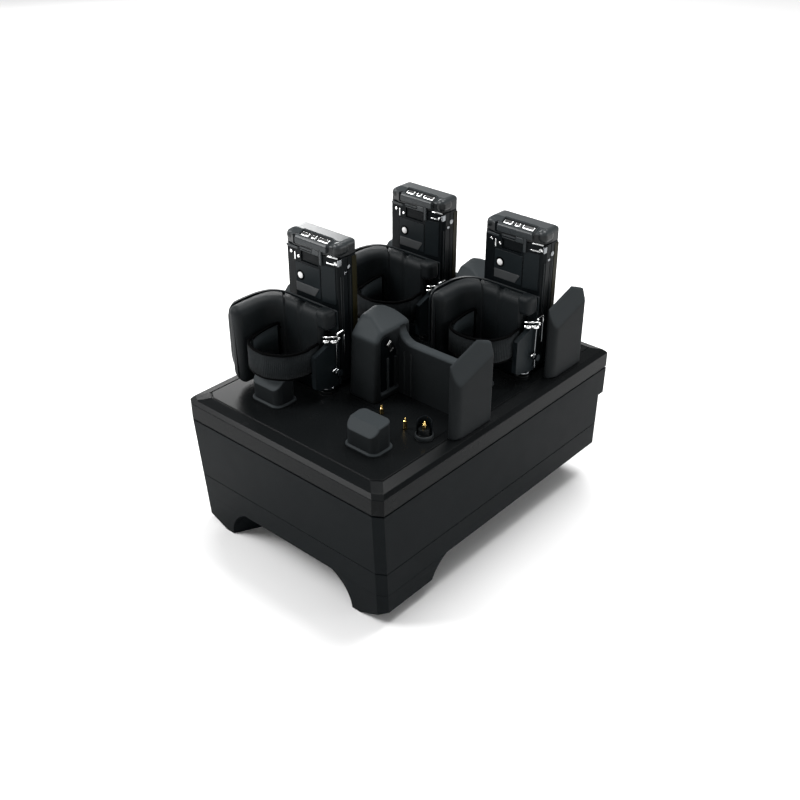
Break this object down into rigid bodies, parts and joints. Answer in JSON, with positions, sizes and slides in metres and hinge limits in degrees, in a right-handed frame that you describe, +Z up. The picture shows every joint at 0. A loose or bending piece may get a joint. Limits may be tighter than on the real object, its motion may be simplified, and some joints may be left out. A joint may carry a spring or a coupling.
{
  "type": "multi-bay charging cradle with wearable terminals",
  "caption": "Desk charging cradle with guide towers, sprung contacts and docked wearable terminals, each with a padded cuff, a strap loop and a scan head; one bay is empty.",
  "frame": {"origin": "on the table, under the middle of the cradle's footprint", "axes": "+Z up, front at -Y, +X to the right seen from the front"},
  "size_m": [0.15, 0.21, 0.1772],
  "materials": {
    "body_plastic": "fine moulded texture, satin black",
    "deck_plastic": "semi-gloss moulded black",
    "guide_plastic": "fine moulded texture, satin black",
    "board": "solder mask",
    "inlet_plastic": "glossy black",
    "gold_contact": "gold plated",
    "spring_steel": "bright spring steel",
    "case_plastic": "satin black",
    "head_plastic": "satin black",
    "window_glass": "clear scan window",
    "key_plastic": "matt black",
    "cuff_plastic": "satin dark grey",
    "pad_foam": "soft closed-cell foam with a matt skin",
    "elastic_web": "ribbed elastic",
    "arm_plastic": "satin black",
    "lever_chrome": "bright chrome"
  },
  "bodies": {
    "cradle": {"lower_housing": "body_plastic", "base_plate": "body_plastic", "rear_plinth": "body_plastic", "deck_cover": "deck_plastic", "circuit_board": "board", "power_inlet": "inlet_plastic", "leg_left": "body_plastic", "leg_right": "body_plastic", "tower_front": "guide_plastic", "tower_rear": "guide_plastic", "side_rail_front": "guide_plastic", "side_rail_rear": "guide_plastic", "side_fin_front": "guide_plastic", "side_fin_rear": "guide_plastic", "back_wall_front_left": "guide_plastic", "finger_post_front_left": "guide_plastic", "back_wall_front_right": "guide_plastic", "finger_post_front_right": "guide_plastic", "back_wall_rear_left": "guide_plastic", "finger_post_rear_left": "guide_plastic", "back_wall_rear_right": "guide_plastic", "finger_post_rear_right": "guide_plastic"},
    "terminal_front_left": {"case_front_front_left": "case_plastic", "case_back_front_left": "case_plastic", "scan_head_front_left": "head_plastic", "scan_window_front_left": "window_glass", "cuff_shell_front_left": "cuff_plastic", "cuff_pad_front_left": "pad_foam", "strap_front_left": "elastic_web", "contact_arm_front_left": "arm_plastic"},
    "key_front_left": {"front_key_front_left": "key_plastic"},
    "lever_front_left": {"strap_lever_front_left": "lever_chrome"},
    "terminal_rear_left": {"case_front_rear_left": "case_plastic", "case_back_rear_left": "case_plastic", "scan_head_rear_left": "head_plastic", "scan_window_rear_left": "window_glass", "cuff_shell_rear_left": "cuff_plastic", "cuff_pad_rear_left": "pad_foam", "strap_rear_left": "elastic_web", "contact_arm_rear_left": "arm_plastic"},
    "key_rear_left": {"front_key_rear_left": "key_plastic"},
    "lever_rear_left": {"strap_lever_rear_left": "lever_chrome"},
    "terminal_rear_right": {"case_front_rear_right": "case_plastic", "case_back_rear_right": "case_plastic", "scan_head_rear_right": "head_plastic", "scan_window_rear_right": "window_glass", "cuff_shell_rear_right": "cuff_plastic", "cuff_pad_rear_right": "pad_foam", "strap_rear_right": "elastic_web", "contact_arm_rear_right": "arm_plastic"},
    "key_rear_right": {"front_key_rear_right": "key_plastic"},
    "lever_rear_right": {"strap_lever_rear_right": "lever_chrome"},
    "carrier_front_left": {"contact_carrier_front_left": "gold_contact"},
    "latch_front_left": {"latch_front_left": "spring_steel"},
    "carrier_front_right": {"contact_carrier_front_right": "gold_contact"},
    "latch_front_right": {"latch_front_right": "spring_steel"},
    "carrier_rear_left": {"contact_carrier_rear_left": "gold_contact"},
    "latch_rear_left": {"latch_rear_left": "spring_steel"},
    "carrier_rear_right": {"contact_carrier_rear_right": "gold_contact"},
    "latch_rear_right": {"latch_rear_right": "spring_steel"}
  },
  "joints": [
    {"name": "lift_front_left", "type": "slide", "parent": "cradle", "child": "terminal_front_left", "axis": [0, 0, 1], "range_m": [0, 0.06]},
    {"name": "key_press_front_left", "type": "slide", "parent": "terminal_front_left", "child": "key_front_left", "axis": [0, 1, 0], "range_m": [0, 0.0008], "stiffness_N_per_m": 600, "springref_m": -0.0008},
    {"name": "lever_swing_front_left", "type": "hinge", "parent": "terminal_front_left", "child": "lever_front_left", "pos_m": [-0.01005, -0.046, 0.1035], "axis": [1, 0, 0], "range_deg": [0, 85]},
    {"name": "lift_rear_left", "type": "slide", "parent": "cradle", "child": "terminal_rear_left", "axis": [0, 0, 1], "range_m": [0, 0.06]},
    {"name": "key_press_rear_left", "type": "slide", "parent": "terminal_rear_left", "child": "key_rear_left", "axis": [0, 1, 0], "range_m": [0, 0.0008], "stiffness_N_per_m": 600, "springref_m": -0.0008},
    {"name": "lever_swing_rear_left", "type": "hinge", "parent": "terminal_rear_left", "child": "lever_rear_left", "pos_m": [-0.01005, 0.0424, 0.1035], "axis": [1, 0, 0], "range_deg": [0, 85]},
    {"name": "lift_rear_right", "type": "slide", "parent": "cradle", "child": "terminal_rear_right", "axis": [0, 0, 1], "range_m": [0, 0.06]},
    {"name": "key_press_rear_right", "type": "slide", "parent": "terminal_rear_right", "child": "key_rear_right", "axis": [0, 1, 0], "range_m": [0, 0.0008], "stiffness_N_per_m": 600, "springref_m": -0.0008},
    {"name": "lever_swing_rear_right", "type": "hinge", "parent": "terminal_rear_right", "child": "lever_rear_right", "pos_m": [0.06275, 0.0424, 0.1035], "axis": [1, 0, 0], "range_deg": [0, 85]},
    {"name": "contact_travel_front_left", "type": "slide", "parent": "cradle", "child": "carrier_front_left", "axis": [0, 0, -1], "range_m": [0, 0.0015], "stiffness_N_per_m": 600, "springref_m": -0.001},
    {"name": "latch_press_front_left", "type": "hinge", "parent": "cradle", "child": "latch_front_left", "pos_m": [-0.0611, -0.0254, 0.1172], "axis": [0, -0.8191, -0.5736], "range_deg": [0, 12], "stiffness_Nm_per_rad": 0.01, "springref_deg": -5.73},
    {"name": "contact_travel_front_right", "type": "slide", "parent": "cradle", "child": "carrier_front_right", "axis": [0, 0, -1], "range_m": [0, 0.0015], "stiffness_N_per_m": 600, "springref_m": -0.001},
    {"name": "latch_press_front_right", "type": "hinge", "parent": "cradle", "child": "latch_front_right", "pos_m": [0.0117, -0.0254, 0.1172], "axis": [0, -0.8191, -0.5736], "range_deg": [0, 12], "stiffness_Nm_per_rad": 0.01, "springref_deg": -5.73},
    {"name": "contact_travel_rear_left", "type": "slide", "parent": "cradle", "child": "carrier_rear_left", "axis": [0, 0, -1], "range_m": [0, 0.0015], "stiffness_N_per_m": 600, "springref_m": -0.001},
    {"name": "latch_press_rear_left", "type": "hinge", "parent": "cradle", "child": "latch_rear_left", "pos_m": [-0.0611, 0.063, 0.1172], "axis": [0, -0.8191, -0.5736], "range_deg": [0, 12], "stiffness_Nm_per_rad": 0.01, "springref_deg": -5.73},
    {"name": "contact_travel_rear_right", "type": "slide", "parent": "cradle", "child": "carrier_rear_right", "axis": [0, 0, -1], "range_m": [0, 0.0015], "stiffness_N_per_m": 600, "springref_m": -0.001},
    {"name": "latch_press_rear_right", "type": "hinge", "parent": "cradle", "child": "latch_rear_right", "pos_m": [0.0117, 0.063, 0.1172], "axis": [0, -0.8191, -0.5736], "range_deg": [0, 12], "stiffness_Nm_per_rad": 0.01, "springref_deg": -5.73}
  ]
}
